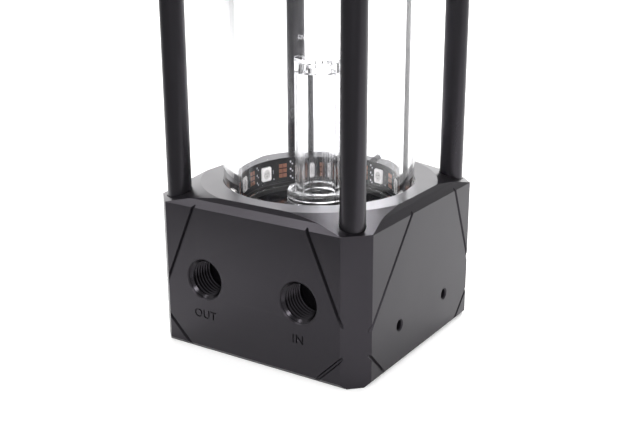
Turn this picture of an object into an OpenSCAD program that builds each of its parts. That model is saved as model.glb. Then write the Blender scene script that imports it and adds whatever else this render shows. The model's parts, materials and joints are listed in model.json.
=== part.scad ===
// Coolant pump reservoir: a glass tube clamped between two square blocks by
// four rods, with a canned-rotor pump built into the base block.
// Millimetres. +Z is up, the ports face -Y, the origin is the centre of the
// base block's underside.

/* [Blocks] */
// Width of both square blocks
block_w = 80; // [78:1:92]
// Leg of the chamfer down each vertical corner
corner_cut = 7; // [5:0.5:8]
// How far the rim's flat sides stand back from the side faces
bevel_run = 2.8; // [2:0.2:3.2]
// How far the side faces stop below the rim
bevel_drop = 3.7; // [2.5:0.1:5]
// Run of the steep lip that starts those bevels at the rim
lip_run = 0.6; // [0.2:0.1:1]
// Height of that steep lip
lip_drop = 1.6; // [1:0.1:1.8]
// How far the rim's round corners reach past its flat sides
rim_bulge = 2.2; // [1:0.2:3]
// Chamfer along the outer end edges of both blocks
edge_cut = 1.6; // [0.4:0.1:2]
// Thickness of the top block above the tube's upper gasket
roof_t = 15; // [13:0.5:20]

/* [Face grooves] */
// Width of the engraved lines at the surface
groove_w = 1.3; // [1:0.1:2]
// Width of the engraved lines at their floor
groove_floor_w = 0.5; // [0.2:0.1:0.9]
// Depth of the engraved lines
groove_d = 0.8; // [0.5:0.1:1.4]
// Distance from the face's middle to an upper line, at the top of the face
groove_top_x = 21.5; // [16:0.5:28]
// How far down the corner an upper line ends
groove_fall = 26.4; // [18:0.2:30]
// The same distance for the forward line of the left and right faces
long_groove_top_x = 9.1; // [4:0.1:14]
// The same fall for the forward line of the left and right faces
long_groove_fall = 29.2; // [24:0.1:34]
// Distance from the face's middle to a lower line, at the bottom of the face
groove_foot_x = 23.4; // [18:0.2:28]
// Height at which a lower line meets the corner
groove_foot_z = 9.6; // [6:0.1:12]

/* [Tube] */
// Outside diameter of the glass tube
tube_od = 63.4; // [61:0.1:63.6]
// Wall of the glass tube
tube_wall = 4.7; // [3:0.1:5]
// Length of the glass tube
tube_len = 150; // [110:5:220]
// How deep each end of the tube stands below its block's rim
tube_sink = 9.5; // [8:0.5:12]
// Thickness of the flat gasket under each end of the tube
gasket_t = 1.5; // [1:0.1:2]

/* [Rods] */
// Diameter of the four clamping rods
rod_d = 7.8; // [7:0.1:8.4]
// Distance from the side faces to a rod's centre
rod_inset = 7.2; // [6.8:0.1:8]
// How deep each end of a rod stands below the side faces' top edge
rod_sink = 10; // [8:0.5:12]
// Depth of the tapped hole in each end of a rod
rod_tap_depth = 15; // [13:1:20]

/* [Ports] */
// Major diameter of the port thread (G 1/4)
port_d = 13.157; // [13:0.001:13.3]
// Length of the port thread
port_depth = 12; // [10:0.5:13]
// Diameter of the countersink at a port's mouth
port_mouth_d = 13.9; // [13.6:0.1:15]
// Distance between the two ports' centres
port_pitch = 36; // [34:0.5:40]
// Height of the ports' centres above the pump chamber's floor
port_lift = 5.1; // [3.5:0.1:6]
// Diameter of the drilled way from the outlet port to the pump chamber
outlet_d = 5.2; // [4:0.2:6]
// Diameter of the drilled ways from the inlet port to the feed slot
inlet_d = 6; // [5:0.2:6.4]

/* [Side mounting holes] */
// Tapping diameter of the side holes (M4)
side_hole_d = 3.3; // [3:0.1:4]
// Diameter of a side hole's countersink
side_mouth_d = 4.2; // [4.1:0.1:6]
// Depth of a side hole
side_hole_depth = 8; // [6:0.5:8]
// Distance between the two side holes
side_hole_pitch = 31; // [24:0.5:40]
// Height of the side holes above the underside
side_hole_z = 13.9; // [9:0.1:17]

/* [Floor insert] */
// Thickness of the floor insert at the shelf that carries the tube
insert_t = 3; // [2.6:0.1:4]
// Depth of the round well inside that shelf
well_depth = 1.2; // [0.6:0.1:1.4]
// How far the shelf's inner edge stands inside the tube's bore
shelf_lip = 0.5; // [0:0.1:1]
// Height of the riser socket above the shelf
socket_rise = 1.6; // [1:0.1:2.6]
// Wall of the riser socket
socket_wall = 1.8; // [1.2:0.1:2]
// Diameter of each suction hole
suction_d = 5.4; // [4:0.2:5.6]
// Distance from the axis to a suction hole's centre
suction_r = 16; // [15.8:0.1:16.2]
// Number of suction holes
suction_count = 6; // [4:2:6]

/* [Riser tube] */
// Outside diameter of the riser tube
riser_d = 16; // [14:0.2:17]
// Bore of the riser tube
riser_bore = 11; // [9:0.2:12]
// Height of the riser tube above its flange
riser_len = 43.6; // [30:0.2:90]
// Diameter of the flange and of the plug below it
flange_d = 21.4; // [20:0.1:22]
// Thickness of the flange
flange_t = 2.3; // [1.6:0.1:3]
// Rounding of the flange's upper edge
flange_round = 1; // [0.4:0.1:1.4]
// How much of the plug shows above its socket
plug_show = 2.8; // [2:0.1:4]
// Thickness of the cap that closes the riser tube
cap_t = 1.5; // [1:0.1:2.4]
// Height of the outlet windows under the cap
window_h = 3.1; // [2:0.1:5]
// Width of an outlet window
window_w = 4.5; // [3:0.1:4.8]
// Number of outlet windows
window_count = 8; // [6:1:8]
// Diameter of the vent hole in the cap
vent_d = 2; // [1.2:0.1:3]

/* [Light ring] */
// Depth of the recess that carries the light strip, measured from the tube
strip_gap = 2; // [1.9:0.1:2.3]
// Thickness of the lip that covers the recess at the rim
rim_lip = 0.6; // [0.5:0.1:1]
// Width of the flexible light strip
strip_w = 8.8; // [8:0.1:9]
// Thickness of the flexible light strip
strip_t = 0.25; // [0.2:0.05:0.35]
// Number of lights on the strip
led_count = 12; // [10:1:16]
// Width and height of one light
led_w = 5; // [4.4:0.1:5.4]
// Angle of the first light round the axis
led_start = 164.2; // [150:0.2:170]
// Diameter of the strip's lead grommet
led_grommet_d = 4.2; // [3:0.1:4.6]
// How far that grommet stands above the rim
led_grommet_rise = 1; // [0.8:0.1:1.6]
// Distance of that grommet from the block's middle
led_grommet_x = 5.5; // [-6:0.5:6]

/* [Pump] */
// Thickness of the plate that closes the pump from below
plate_t = 2.5; // [2:0.1:3]
// How far that plate lies above the underside
plate_lift = 0.6; // [0.3:0.1:1]
// How far that plate's rim reaches past the motor space
plate_rim = 6; // [5.6:0.1:8]
// Height of the motor space
motor_h = 14.8; // [13.4:0.1:16]
// Radius of the motor space
motor_r = 28; // [27.4:0.1:28.4]
// Thickness of the rotor can's flange
can_flange_t = 2; // [1.8:0.1:2.4]
// Wall of the rotor can
can_wall = 0.8; // [0.6:0.05:1]
// Inner radius of the rotor can
can_r = 10; // [9.4:0.1:10.4]
// Height of the pump chamber
chamber_h = 6.5; // [6:0.1:7.5]
// Outer radius of the volute housing
volute_r = 22; // [21.8:0.1:22.6]
// Thickness of the volute housing's roof
volute_roof_t = 2; // [1.6:0.1:2.4]
// Largest radius of the pump chamber
chamber_r = 19.6; // [19:0.1:20]
// Radius of the pump's eye
eye_r = 6; // [5:0.1:7]
// Radius of the impeller
impeller_r = 15; // [13:0.1:15.6]
// Number of impeller blades
blade_count = 6; // [5:1:8]
// Gap above and below the impeller
impeller_gap = 0.5; // [0.3:0.05:0.6]
// Height of the space between the volute housing and the block's web
plenum_h = 2.5; // [2:0.1:3]
// Thickness of the web under the feed slot
web_t = 2; // [1.6:0.1:3]
// Height of the feed slot from the inlet to the riser
feed_h = 5.5; // [4.5:0.1:7]
// Width of the feed slot
feed_w = 7; // [6:0.2:7.4]
// Distance from the axis to the inlet's upright drilling
feed_r = 26; // [25.8:0.1:26.2]
// Angle of the feed slot, clockwise from the right-hand side
feed_angle = 54; // [52:0.5:56]
// Diameter of the ceramic shaft
shaft_d = 3; // [2.5:0.1:3.4]
// Thickness of the rotor magnet and stator stack
stack_h = 8; // [7:0.1:8.2]
// Thickness of the circuit board
board_t = 1.2; // [0.8:0.1:1.4]
// Diameter of the pump lead's grommet
lead_grommet_d = 8.4; // [7:0.1:9]

/* [Fill plug] */
// Diameter of the fill plug's head
plug_head_d = 20; // [19:0.2:24]
// Height of the fill plug's head
plug_head_h = 3.2; // [2.8:0.1:4]
// Length of the fill plug's thread
plug_thread_len = 8; // [6:0.5:10]
// Width across flats of the fill plug's key socket
plug_key_w = 6; // [5:0.5:8]

/* [Screws] */
// Length of a rod screw in the base block
lower_screw_len = 45; // [44:0.5:46]
// Length of a rod screw in the top block
upper_screw_len = 20; // [19.5:0.5:22]
// Shank diameter of the rod screws (M4)
rod_screw_d = 4; // [3.8:0.1:4]
// Head diameter of the rod screws
rod_screw_head_d = 7; // [6.6:0.1:7.2]
// Head height of the rod screws
rod_screw_head_h = 4; // [3.4:0.1:4.2]
// Shank diameter of the plate screws (M3)
plate_screw_d = 3; // [2.5:0.1:3]
// Length of the plate screws
plate_screw_len = 8; // [6:0.5:10]
// Number of plate screws
plate_screw_count = 4; // [4:1:8]

/* [Fits] */
// Radial play of a rod in its socket and of a screw in its hole
rod_play = 0.25; // [0.15:0.05:0.3]
// Radial play of pieces that drop into a bore
seat_play = 0.2; // [0.1:0.05:0.25]
// Radial play of the rotor on its shaft
shaft_play = 0.05; // [0.03:0.01:0.08]
// Radial play of the fill plug's thread
thread_play = 0.08; // [0.04:0.01:0.09]
// Radial play of the tube in its two bores
tube_play = 0.25; // [0.2:0.05:0.3]
// Play at the faces of seals and moving seals
seal_play = 0.05; // [0.02:0.01:0.08]

/* [Hidden] */

$fn = 96;
seal_fn = 48;
over = 1;            // how far a cut runs past the surface that it opens
run_on = 6;          // how far an engraved line's cutter runs past the line's ends

// Plan of the blocks
half = block_w / 2;
side = half - corner_cut;
rim_flat = half - bevel_run;
rim_r = rim_flat + rim_bulge;
edge_play = 0.2;     // how far the bevel's cone starts outside the corner
corner_r = norm([half, half - corner_cut]) + edge_play;
rod_xy = half - rod_inset;
rod_r = rod_d / 2;
rod_corners = [[-1, -1], [1, -1], [-1, 1], [1, 1]];

// Heights, from the underside up
motor_z = plate_lift + plate_t;
flange_z = motor_z + motor_h;
chamber_z = flange_z + can_flange_t;
volute_roof_z = chamber_z + chamber_h;
volute_top = volute_roof_z + volute_roof_t;
web_z = volute_top + plenum_h;
slot_z = web_z + web_t;
insert_z = slot_z + feed_h;
shelf_z = insert_z + insert_t;
well_z = shelf_z - well_depth;
tube_z = shelf_z + gasket_t;
base_h = tube_z + tube_sink;
strip_z = base_h - rim_lip - strip_w - seal_play;
port_z = chamber_z + port_lift;

// Heights of the top block
tube_top = tube_z + tube_len;
top_rim_z = tube_top - tube_sink;
roof_z = tube_top + gasket_t;
top_z = roof_z + roof_t;
top_h = top_z - top_rim_z;

// Rods and their screws
rod_z = base_h - bevel_drop - rod_sink;
rod_top = top_rim_z + bevel_drop + rod_sink;
rod_screw_r = rod_screw_d / 2;
head_sink = 0.6;     // how far a rod screw's head lies below its block's face
head_well = rod_screw_head_h + head_sink;
head_play = 0.5;
screw_key_w = 3;
screw_key_depth = 2.2;

// Radii
tube_r = tube_od / 2;
tube_ir = tube_r - tube_wall;
bore_r = tube_r + tube_play;
recess_r = tube_r + strip_gap;
strip_r = recess_r - seal_play;
led_back = sqrt(pow(strip_r - strip_t, 2) - pow(led_w / 2, 2));
led_gap = 0.3;
led_front = tube_r + led_gap;
well_r = tube_ir - shelf_lip;
gasket_lap = 0.3;
ring_edge = 2.3;
insert_ring_r = bore_r - ring_edge;
plug_r = flange_d / 2;
socket_r = plug_r + seal_play;
port_r = port_d / 2;
port_x = port_pitch / 2;
outlet_z = chamber_z + chamber_h / 2;
plenum_lip = 2.8;
plenum_r = volute_r - plenum_lip;
pocket_lip = 0.7;
centre_pocket_r = plug_r - pocket_lip;

// Riser heights
ring_d = 1.2;        // section of the sealing rings
ring_groove_w = 1.8; // width of the grooves that hold the flat rings
flange_z0 = shelf_z + socket_rise + plug_show + ring_d;
riser_z = flange_z0 + flange_t;
riser_top = riser_z + riser_len;

// Pump heights and radii
can_lift = 2.4;
can_floor_z = motor_z + can_lift;
washer_seat_h = 0.3;
washer_t = 0.5;
magnet_play = 0.1;
magnet_z = can_floor_z + can_wall + washer_seat_h + washer_t + magnet_play;
shaft_lift = 0.8;
shaft_z = motor_z + shaft_lift;
plate_r = motor_r + plate_rim;
can_ring_r = (volute_r + motor_r) / 2;
board_rise = 1.9;
board_z = motor_z + board_rise;
stack_rise = 4.1;
stack_z = motor_z + stack_rise;
shaft_r = shaft_d / 2;
bush_wall = 1.5;
hub_wall = 1.2;
bush_r = shaft_r + bush_wall;
hub_r = bush_r + hub_wall;
bush_recess = 1;     // how far the bearing bush ends below the hub's top
magnet_gap = 0.4;
impeller_z = chamber_z + impeller_gap;
impeller_h = chamber_h - 2 * impeller_gap;
disc_t = 1.2;
blade_t = 1.2;
frame_r = motor_r - seat_play;
frame_wall = 1.6;
stator_r = frame_r - frame_wall - seal_play;
stator_gap = 0.3;
gap_r = can_r + can_wall + stator_gap;
tooth_w = 4;
tooth_count = 6;
parts_r = (can_r + frame_r) / 2;
chip_h = 1.4;
ring_land = 1.25;
plug_ring_r = port_mouth_d / 2 + ring_land;
lead_rise = 6;
lead_z = motor_z + lead_rise;
grommet_flange_t = 1.2;
lead_neck = 1.2;
lead_way_r = lead_grommet_d / 2 - lead_neck;

// ---------------------------------------------------------------- shapes

// Tube along +Z
module tube(r_out, r_in, h) {
    difference() {
        cylinder(r = r_out, h = h);
        translate([0, 0, -over]) cylinder(r = r_in, h = h + 2 * over);
    }
}

// Sealing ring of round section, centred on the plane z = 0
module seal_ring(r_mid, d) {
    rotate_extrude() translate([r_mid, 0]) circle(d = d, $fn = seal_fn);
}

// Hexagonal key socket, opening upwards at z = 0
module key_socket(w, depth) {
    translate([0, 0, -depth]) cylinder(d = w / cos(30), h = depth + over, $fn = 6);
}

// Copies its children onto the four rods' centres
module at_rods() {
    for (c = rod_corners) translate([c[0] * rod_xy, c[1] * rod_xy, 0]) children();
}

// Cutter for one engraved line from p to q, given as [x, z] on the front face
module line_cut(p, q) {
    flare = (groove_w - groove_floor_w) / 2;
    mouth = groove_w / 2 + over * flare / groove_d;
    floor_half = groove_floor_w / 2;
    translate([p[0], -half, p[1]]) rotate([0, -atan2(q[1] - p[1], q[0] - p[0]), 0])
        translate([-run_on, 0, 0]) rotate([90, 0, 90]) linear_extrude(norm(q - p) + 2 * run_on)
            polygon([[-over, -mouth], [groove_d, -floor_half], [groove_d, floor_half], [-over, mouth]]);
}

// Cuts the front face's upper lines, for a block whose rim is at z = h.
// left_x, left_fall and right_x, right_fall place the two lines.
module face_lines(h, left_x, left_fall, right_x, right_fall) {
    ledge = h - bevel_drop;
    line_cut([-left_x, ledge], [-side, ledge - left_fall]);
    line_cut([right_x, ledge], [side, ledge - right_fall]);
}

// Cuts the two short lines at the foot of the front face
module foot_lines() {
    for (s = [-1, 1]) line_cut([s * groove_foot_x, 0], [s * side, groove_foot_z]);
}

// All four faces' upper lines: on the sides the long line is the forward one
module block_lines(h) {
    for (turn = [0, 180]) rotate(turn)
        face_lines(h, groove_top_x, groove_fall, groove_top_x, groove_fall);
    rotate(90) face_lines(h, long_groove_top_x, long_groove_fall, groove_top_x, groove_fall);
    rotate(-90) face_lines(h, groove_top_x, groove_fall, long_groove_top_x, long_groove_fall);
}

// Outer form of a block of height h with its raised rim at the top: a square
// prism with chamfered corners, a steep lip and a flat bevel along each side,
// and a cone over the corners
module block_form(h) {
    slope = (corner_r - rim_r) / bevel_drop;
    lip_over = over * lip_run / lip_drop;
    fall = over * (bevel_drop - lip_drop) / (bevel_run - lip_run);
    difference() {
        linear_extrude(h) polygon([[half, -side], [half, side], [side, half], [-side, half],
                                   [-half, side], [-half, -side], [-side, -half], [side, -half]]);
        for (q = [0:3]) rotate(90 * q) translate([half, 0, 0]) rotate([90, 0, 0])
            linear_extrude(block_w + 2 * over, center = true) {
                polygon([[-bevel_run - lip_over, h + over], [over, h + over],
                         [over, h - bevel_drop - fall], [lip_run - bevel_run, h - lip_drop]]);
                polygon([[-edge_cut, 0], [0, edge_cut], [over, edge_cut], [over, -over], [-edge_cut, -over]]);
            }
        // the cone starts below the bevels' foot, clear of the block's sides
        translate([0, 0, h - bevel_drop - over]) difference() {
            cylinder(r = corner_r + 4 * over, h = bevel_drop + 2 * over);
            cylinder(r1 = corner_r + slope * over, r2 = rim_r - slope * over, h = bevel_drop + 2 * over);
        }
    }
}

// Cuts a rod's socket and its screw's hole, for a block whose rim is at z = h
module rod_cuts(h) {
    seat = h - bevel_drop - rod_sink;
    at_rods() {
        translate([0, 0, seat]) cylinder(r = rod_r + rod_play, h = h);
        translate([0, 0, -over]) cylinder(r = rod_screw_r + rod_play, h = h);
        translate([0, 0, -over]) cylinder(d = rod_screw_head_d + 2 * head_play, h = head_well + over);
    }
}

// Cuts a port into the front face at x
module port_cuts(x) {
    mouth_r = port_mouth_d / 2;
    translate([x, -half, port_z]) rotate([-90, 0, 0]) {
        cylinder(r = port_r, h = port_depth);
        translate([0, 0, -over])
            cylinder(r1 = mouth_r + over, r2 = port_r, h = mouth_r - port_r + over);
    }
}

// A rod screw with its head's top at z = 0 and its tip downwards
module rod_screw(len) {
    difference() {
        union() {
            translate([0, 0, -rod_screw_head_h]) cylinder(d = rod_screw_head_d, h = rod_screw_head_h);
            translate([0, 0, -rod_screw_head_h - len])
                cylinder(r = rod_screw_r, h = len + rod_screw_head_h / 2);
        }
        key_socket(screw_key_w, screw_key_depth);
    }
}

// ---------------------------------------------------------------- blocks

// Upright drilling and slot that lead the inlet to the riser
module feed_cuts() {
    r = inlet_d / 2;
    rotate(-feed_angle) {
        translate([feed_r, 0, port_z]) cylinder(r = r, h = insert_z - port_z + over);
        translate([0, -feed_w / 2, slot_z]) cube([feed_r, feed_w, feed_h + over]);
    }
    translate([0, 0, slot_z]) cylinder(r = centre_pocket_r, h = feed_h + over);
    translate([port_x, -half, port_z]) rotate([-90, 0, 0])
        cylinder(r = r, h = half - feed_r * sin(feed_angle) + r / 2);
}

// Suction holes between the feed slot's two sides
module suction_cuts(z, h) {
    for (i = [0:suction_count - 1])
        rotate(-feed_angle + 180 / suction_count + 360 * i / suction_count)
            translate([suction_r, 0, z]) cylinder(d = suction_d, h = h);
}

module base_block() {
    side_r = side_hole_d / 2;
    color("#1b1b1e") difference() {
        block_form(base_h);
        // tube bore, down to the floor insert's seat
        translate([0, 0, insert_z]) cylinder(r = bore_r, h = base_h);
        // recess for the light strip, under the rim's lip
        translate([0, 0, strip_z - seal_play]) cylinder(r = recess_r, h = strip_w + 2 * seal_play);
        // pump space, from below
        translate([0, 0, -over]) cylinder(r = plate_r + seat_play, h = motor_z + over);
        cylinder(r = motor_r, h = chamber_z);
        cylinder(r = volute_r + seat_play, h = volute_top);
        cylinder(r = plenum_r, h = web_z);
        suction_cuts(web_z - over, insert_z - web_z + 2 * over);
        feed_cuts();
        // outlet drilling
        translate([-port_x, -half, outlet_z]) rotate([-90, 0, 0]) cylinder(d = outlet_d, h = half);
        port_cuts(-port_x);
        port_cuts(port_x);
        rod_cuts(base_h);
        // side mounting holes
        for (s = [-1, 1]) translate([half, s * side_hole_pitch / 2, side_hole_z]) rotate([0, -90, 0]) {
            cylinder(r = side_r, h = side_hole_depth);
            translate([0, 0, -over])
                cylinder(r1 = side_mouth_d / 2 + over, r2 = side_r, h = side_mouth_d / 2 - side_r + over);
        }
        // plate screws' holes
        plate_screw_places() translate([0, 0, motor_z - over])
            cylinder(d = plate_screw_d + 2 * seal_play, h = plate_screw_len + over);
        // pump lead's way out at the back
        translate([0, 0, lead_z]) rotate([-90, 0, 0]) {
            cylinder(r = lead_way_r, h = half + over);
            translate([0, 0, half - grommet_flange_t])
                cylinder(r = lead_grommet_d / 2 + seat_play, h = grommet_flange_t + over);
        }
        // light strip lead's way out over the back rim
        translate([led_grommet_x, 0, base_h + led_grommet_rise - led_grommet_d / 2]) rotate([-90, 0, 0])
            cylinder(d = led_grommet_d, h = half + over);
        block_lines(base_h);
        for (q = [0:3]) rotate(90 * q) foot_lines();
    }
}

module top_block() {
    color("#1b1b1e") translate([0, 0, top_z]) mirror([0, 0, 1]) difference() {
        block_form(top_h);
        translate([0, 0, roof_t]) cylinder(r = bore_r, h = top_h);
        translate([0, 0, -over]) cylinder(r = port_r, h = top_h);
        translate([0, 0, -over])
            cylinder(r1 = port_mouth_d / 2 + over, r2 = port_r, h = port_mouth_d / 2 - port_r + over);
        rod_cuts(top_h);
        block_lines(top_h);
    }
}

// ---------------------------------------------------------------- tube and rods

module glass_tube() {
    color("azure", 0.35) translate([0, 0, tube_z]) tube(tube_r, tube_ir, tube_len);
}

module tube_gasket(z) {
    color("#141414") translate([0, 0, z]) tube(tube_r, tube_ir - gasket_lap, gasket_t);
}

module tube_gasket_lower() tube_gasket(shelf_z);
module tube_gasket_upper() tube_gasket(tube_top);

// One rod, at the corner c
module rod(c) {
    color("#202022") translate([c[0] * rod_xy, c[1] * rod_xy, rod_z]) difference() {
        cylinder(r = rod_r, h = rod_top - rod_z);
        translate([0, 0, -over]) cylinder(r = rod_screw_r + seal_play, h = rod_tap_depth + over);
        translate([0, 0, rod_top - rod_z - rod_tap_depth])
            cylinder(r = rod_screw_r + seal_play, h = rod_tap_depth + over);
    }
}

module rod_front_left() rod(rod_corners[0]);
module rod_front_right() rod(rod_corners[1]);
module rod_rear_left() rod(rod_corners[2]);
module rod_rear_right() rod(rod_corners[3]);

module rod_screws_lower() {
    color("#2a2a2c") at_rods() translate([0, 0, head_well - rod_screw_head_h])
        mirror([0, 0, 1]) rod_screw(lower_screw_len);
}

module rod_screws_upper() {
    color("#2a2a2c") at_rods() translate([0, 0, top_z - head_well + rod_screw_head_h])
        rod_screw(upper_screw_len);
}

// ---------------------------------------------------------------- floor and riser

module floor_insert() {
    color("#0c0c0e") difference() {
        union() {
            translate([0, 0, insert_z]) cylinder(r = bore_r - seat_play, h = insert_t);
            translate([0, 0, insert_z]) cylinder(r = socket_r + socket_wall, h = insert_t + socket_rise);
        }
        translate([0, 0, well_z]) tube(well_r, socket_r + socket_wall, well_depth + over);
        translate([0, 0, insert_z - over]) cylinder(r = socket_r, h = insert_t + socket_rise + 2 * over);
        translate([0, 0, insert_z - over])
            tube(insert_ring_r + ring_groove_w / 2, insert_ring_r - ring_groove_w / 2, over + ring_d);
        suction_cuts(insert_z - over, insert_t + 2 * over);
    }
}

module insert_seal() {
    color("#101010") translate([0, 0, insert_z + ring_d / 2]) seal_ring(insert_ring_r, ring_d);
}

// Clear riser: plug, flange with a sealing ring under it, tube, cap and windows
module riser_tube() {
    plug_top = flange_z0 - ring_d;
    groove_r = plug_r - ring_d - seal_play;
    window_step = 0.2;
    color("azure", 0.35) difference() {
        union() {
            translate([0, 0, insert_z]) cylinder(r = plug_r, h = plug_top - insert_z);
            translate([0, 0, plug_top - over]) cylinder(r = groove_r, h = ring_d + 2 * over);
            translate([0, 0, flange_z0]) rotate_extrude() {
                square([plug_r - flange_round, flange_t]);
                square([plug_r, flange_t - flange_round]);
                translate([plug_r - flange_round, flange_t - flange_round]) intersection() {
                    circle(r = flange_round, $fn = seal_fn);
                    square(flange_round);
                }
            }
            translate([0, 0, flange_z0]) cylinder(d = riser_d, h = riser_top - flange_z0);
        }
        // bore, up to the cap and a little over the windows
        translate([0, 0, insert_z - over])
            cylinder(d = riser_bore, h = riser_top - cap_t + window_step - insert_z + over);
        translate([0, 0, riser_top - cap_t]) cylinder(d = vent_d, h = cap_t + over);
        // ring groove inside the socket
        translate([0, 0, shelf_z - ring_d]) tube(plug_r + over, groove_r, ring_d + 2 * seal_play);
        // windows, narrowing towards the axis so that the webs stay even
        for (i = [0:window_count - 1]) rotate(360 * (i + 0.5) / window_count - feed_angle)
            translate([0, 0, riser_top - cap_t - window_h]) linear_extrude(window_h) window_2d();
    }
}

module window_2d() {
    a = asin(window_w / riser_d);
    near = riser_bore / 4;
    far = riser_d;
    polygon([[near * cos(a), -near * sin(a)], [far * cos(a), -far * sin(a)],
             [far * cos(a), far * sin(a)], [near * cos(a), near * sin(a)]]);
}

module riser_seals() {
    r_mid = plug_r - ring_d / 2;
    color("#101010") {
        translate([0, 0, flange_z0 - ring_d / 2]) seal_ring(r_mid, ring_d - seal_play);
        translate([0, 0, shelf_z - ring_d / 2 + seal_play]) seal_ring(r_mid, ring_d - seal_play);
    }
}

// ---------------------------------------------------------------- light ring

module led_strip() {
    color("#222226") translate([0, 0, strip_z]) tube(strip_r, strip_r - strip_t, strip_w);
}

module led_lights() {
    color("#e9e6e0") for (i = [0:led_count - 1]) rotate(led_start + 360 * i / led_count)
        translate([led_front, -led_w / 2, strip_z + (strip_w - led_w) / 2])
            cube([led_back - led_front, led_w, led_w]);
}

module led_lead_grommet() {
    ring_gap = 0.3;
    near_x = max(0, abs(led_grommet_x) - led_grommet_d / 2);
    y0 = sqrt(pow(recess_r, 2) - pow(near_x, 2)) + ring_gap;
    z = base_h + led_grommet_rise - led_grommet_d / 2;
    color("#4a4a4c") translate([led_grommet_x, y0, z]) rotate([-90, 0, 0]) difference() {
        cylinder(d = led_grommet_d - 2 * seal_play, h = rim_flat + bevel_run / 2 - y0);
        translate([0, 0, -over]) cylinder(d = led_grommet_d / 2.6, h = half);
    }
}

// ---------------------------------------------------------------- pump, fixed pieces

// Chamber outline: a spiral that widens from the impeller to chamber_r
module chamber_2d() {
    start_gap = 0.8;
    start_turn = -170;
    spiral_turn = 355;
    start_r = impeller_r + start_gap;
    steps = 48;
    polygon([for (i = [0:steps])
        let (t = i / steps, a = start_turn + spiral_turn * t, r = start_r + (chamber_r - start_r) * t)
            [r * cos(a), r * sin(a)]]);
}

module volute_housing() {
    color("#2c2c30") difference() {
        translate([0, 0, chamber_z]) cylinder(r = volute_r, h = volute_top - chamber_z);
        translate([0, 0, chamber_z - over]) linear_extrude(chamber_h + over) chamber_2d();
        translate([0, 0, chamber_z]) cylinder(r = eye_r, h = volute_top);
        translate([-port_x, -half, outlet_z]) rotate([-90, 0, 0]) cylinder(d = outlet_d, h = half);
    }
}

module rotor_can() {
    color("#3a3a3e") difference() {
        union() {
            translate([0, 0, flange_z]) cylinder(r = motor_r - seat_play, h = can_flange_t);
            translate([0, 0, can_floor_z]) cylinder(r = can_r + can_wall, h = flange_z - can_floor_z + over);
            // boss that carries the shaft down to the bottom plate
            translate([0, 0, motor_z]) cylinder(r = hub_r, h = can_floor_z - motor_z + over);
        }
        translate([0, 0, can_floor_z + can_wall]) difference() {
            cylinder(r = can_r, h = base_h);
            translate([0, 0, -over]) cylinder(r = bush_r, h = over + washer_seat_h);
        }
        translate([0, 0, chamber_z - ring_d])
            tube(can_ring_r + ring_groove_w / 2, can_ring_r - ring_groove_w / 2, ring_d + over);
        translate([0, 0, shaft_z]) cylinder(r = shaft_r, h = base_h);
    }
}

module can_seal() {
    color("#101010") translate([0, 0, chamber_z - ring_d / 2]) seal_ring(can_ring_r, ring_d);
}

module pump_shaft() {
    color("#f2efe8") translate([0, 0, shaft_z])
        cylinder(r = shaft_r, h = volute_roof_z - impeller_gap - shaft_z);
}

module thrust_washer() {
    color("#d8d4cc") translate([0, 0, can_floor_z + can_wall + washer_seat_h])
        tube(bush_r, shaft_r + seal_play / 2, washer_t);
}

// Plastic ring that holds the stator, with a ledge between stator and board
module motor_frame() {
    ledge_w = 1.6;
    color("#26262a") difference() {
        union() {
            translate([0, 0, motor_z]) tube(frame_r, frame_r - frame_wall, flange_z - motor_z);
            translate([0, 0, board_z + board_t])
                tube(frame_r, frame_r - frame_wall - ledge_w, stack_z - board_z - board_t);
        }
        translate([0, 0, lead_z]) rotate([-90, 0, 0]) cylinder(r = lead_way_r, h = half);
    }
}

// Laminated stack: a yoke with six teeth that end in wide shoes
module stator_core() {
    yoke_t = 3.4;
    shoe_t = 1.6;
    root = 0.2;
    color("#8a8a90") translate([0, 0, stack_z]) linear_extrude(stack_h) difference() {
        union() {
            difference() {
                circle(r = stator_r);
                circle(r = stator_r - yoke_t);
            }
            for (i = [0:tooth_count - 1]) rotate(360 * i / tooth_count) {
                translate([gap_r, -tooth_w / 2]) square([stator_r - yoke_t - gap_r + root, tooth_w]);
                intersection() {
                    circle(r = gap_r + shoe_t);
                    translate([0, -gap_r * 0.45]) square([gap_r + shoe_t + over, gap_r * 0.9]);
                }
            }
        }
        circle(r = gap_r);
    }
}

// Copper windings, one round each tooth
module stator_coils() {
    coil_step = 2.6;
    coil_in = gap_r + coil_step;
    coil_len = 5.6;
    coil_t = 1.9;
    coil_foot = 0.5;
    coil_play = 0.1;
    coil_h = stack_h + 2 * coil_foot + coil_play;
    color("#b0622c") for (i = [0:tooth_count - 1]) rotate(360 * i / tooth_count)
        translate([coil_in, 0, stack_z - coil_foot]) difference() {
            translate([0, -tooth_w / 2 - coil_t, 0]) cube([coil_len, tooth_w + 2 * coil_t, coil_h]);
            translate([-over, -tooth_w / 2 - seal_play, coil_foot - seal_play])
                cube([coil_len + 2 * over, tooth_w + 2 * seal_play, stack_h + 2 * seal_play]);
        }
}

module circuit_board() {
    board_gap = 0.6;
    color("#1d5a34") translate([0, 0, board_z])
        tube(frame_r - frame_wall - seal_play, can_r + can_wall + board_gap, board_t);
}

// Driver chip, three capacitors and a plug socket under the board
module board_parts() {
    chip_w = 7;
    capacitor_r = 2;
    socket = [5, 8];
    z = board_z - chip_h;
    color("#303034") {
        rotate(-90) translate([parts_r - chip_w / 2, -chip_w / 2, z]) cube([chip_w, chip_w, chip_h]);
        for (a = [20, 45, 160]) rotate(a)
            translate([parts_r, 0, z]) cylinder(r = capacitor_r, h = chip_h, $fn = seal_fn);
        rotate(90) translate([parts_r - socket[0] / 2, -socket[1] / 2, z])
            cube([socket[0], socket[1], chip_h]);
    }
}

module thermal_pad() {
    pad_w = 8;
    color("#8fa3b8") rotate(-90)
        translate([parts_r - pad_w / 2, -pad_w / 2, motor_z])
            cube([pad_w, pad_w, board_z - chip_h - motor_z]);
}

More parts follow.
